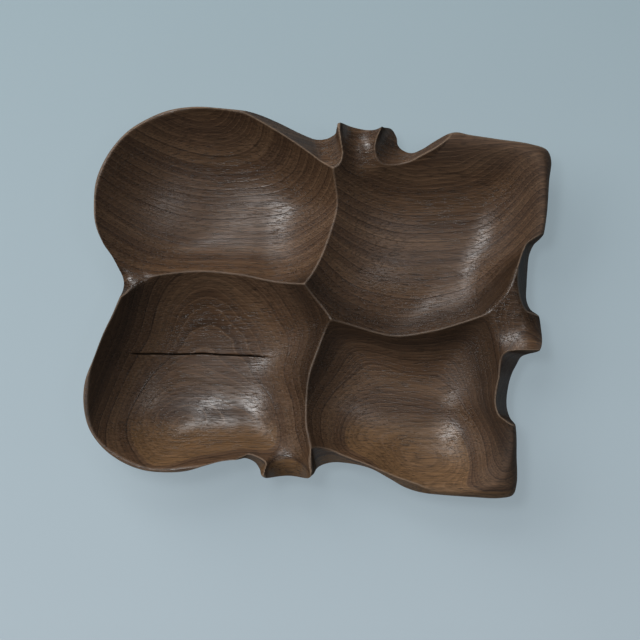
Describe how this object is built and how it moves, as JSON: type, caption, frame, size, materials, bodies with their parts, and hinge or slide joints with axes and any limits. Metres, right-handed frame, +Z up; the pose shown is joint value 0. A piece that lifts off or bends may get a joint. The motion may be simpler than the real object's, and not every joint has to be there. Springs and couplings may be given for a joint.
{
  "type": "appetizer dish",
  "caption": "Free-form carved wooden serving dish: overlapping round hollows set in a pinwheel, crisp ridges between them, rolled ears on the rim and a flat foot.",
  "frame": {"origin": "centre of the flat foot, at the bottom centre of the bounding box", "axes": "+X along the grain and the dish's length, +Y across the grain, +Z up out of the hollows"},
  "size_m": [0.3599, 0.301, 0.046],
  "materials": {
    "oiled_wood": "oiled, satin, dark brown with the growth rings showing"
  },
  "bodies": {
    "root": {"dish_body": "oiled_wood"}
  },
  "joints": []
}
